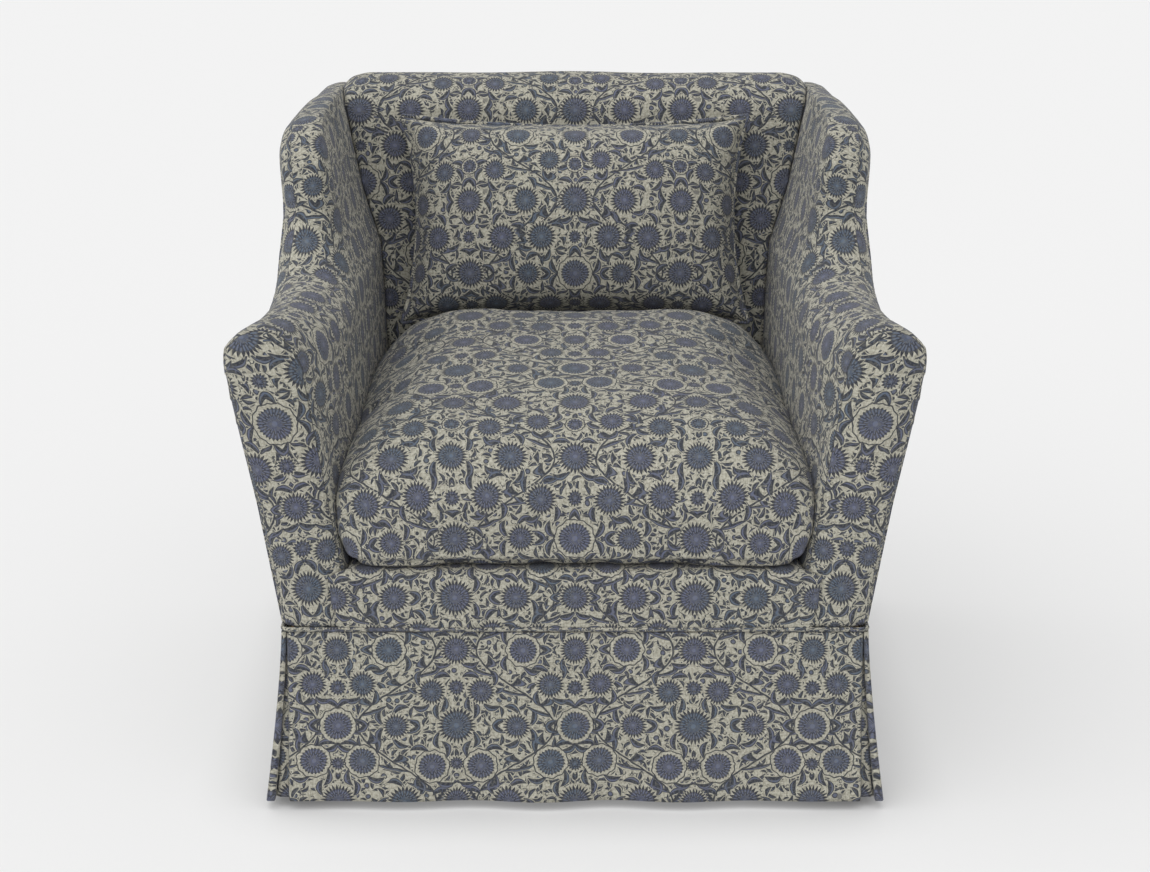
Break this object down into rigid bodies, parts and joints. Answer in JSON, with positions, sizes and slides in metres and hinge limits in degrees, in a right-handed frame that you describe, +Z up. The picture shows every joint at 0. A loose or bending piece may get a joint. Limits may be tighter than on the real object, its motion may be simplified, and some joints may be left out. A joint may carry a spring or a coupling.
{
  "type": "upholstered armchair",
  "caption": "Skirted armchair with flared padded arms, low wings, a loose seat cushion and a loose back pillow that both lift off.",
  "frame": {"origin": "on the floor, under the middle of the chair's bounding box", "axes": "+Z up, +X to the right seen from the front, the sitter faces -Y"},
  "size_m": [0.7946, 0.7718, 0.78],
  "materials": {
    "print_fabric": "printed linen-cotton cloth, slate blue floral on natural ground",
    "deck_lining": "plain cotton lining over felt",
    "cushion_foam": "foam core in wadding",
    "pillow_feather": "feather and fibre in a cambric bag",
    "beech_frame": "sawn beech, unfinished",
    "stained_legs": "dark stained hardwood",
    "spring_steel": "bare spring wire and pressed clips",
    "jute_webbing": "woven jute",
    "black_cloth": "black non-woven cloth",
    "nylon_glides": "natural nylon",
    "zip_tape": "woven zip tape with coil teeth"
  },
  "bodies": {
    "chair": {"back_rail": "beech_frame", "back_strap_1": "jute_webbing", "back_strap_2": "jute_webbing", "back_strap_3": "jute_webbing", "back_tack_rail": "beech_frame", "back_top_rail": "beech_frame", "base_welt": "print_fabric", "deck_pad": "deck_lining", "dust_cloth": "black_cloth", "front_border": "print_fabric", "front_clip_bar": "spring_steel", "front_rail": "beech_frame", "front_skirt": "print_fabric", "inside_back": "print_fabric", "left_arm_and_wing_pad": "print_fabric", "left_arm_post": "beech_frame", "left_arm_rail": "beech_frame", "left_back_post": "beech_frame", "left_front_corner_block": "beech_frame", "left_front_glide": "nylon_glides", "left_front_leg": "stained_legs", "left_front_pleat_underlay": "print_fabric", "left_outside_arm_panel": "print_fabric", "left_rear_corner_block": "beech_frame", "left_rear_glide": "nylon_glides", "left_rear_leg": "stained_legs", "left_rear_pleat_underlay": "print_fabric", "left_side_rail": "beech_frame", "left_side_skirt": "print_fabric", "left_wing_board": "beech_frame", "outside_back": "print_fabric", "rear_clip_bar": "spring_steel", "rear_skirt": "print_fabric", "right_arm_and_wing_pad": "print_fabric", "right_arm_post": "beech_frame", "right_arm_rail": "beech_frame", "right_back_post": "beech_frame", "right_front_corner_block": "beech_frame", "right_front_glide": "nylon_glides", "right_front_leg": "stained_legs", "right_front_pleat_underlay": "print_fabric", "right_outside_arm_panel": "print_fabric", "right_rear_corner_block": "beech_frame", "right_rear_glide": "nylon_glides", "right_rear_leg": "stained_legs", "right_rear_pleat_underlay": "print_fabric", "right_side_rail": "beech_frame", "right_side_skirt": "print_fabric", "right_wing_board": "beech_frame", "seat_spring_1": "spring_steel", "seat_spring_2": "spring_steel", "seat_spring_3": "spring_steel", "seat_spring_4": "spring_steel"},
    "seat_cushion": {"seat_cushion_cover": "print_fabric", "seat_cushion_filling": "cushion_foam", "seat_cushion_zip": "zip_tape"},
    "back_pillow": {"back_pillow_cover": "print_fabric", "back_pillow_filling": "pillow_feather", "back_pillow_zip": "zip_tape", "back_pillow_piping": "print_fabric"}
  },
  "joints": [
    {"name": "seat_cushion_lift", "type": "slide", "parent": "chair", "child": "seat_cushion", "axis": [0, 0, 1], "range_m": [0, 0.35]},
    {"name": "back_pillow_lift", "type": "slide", "parent": "seat_cushion", "child": "back_pillow", "axis": [0, 0, 1], "range_m": [0, 0.3]}
  ]
}
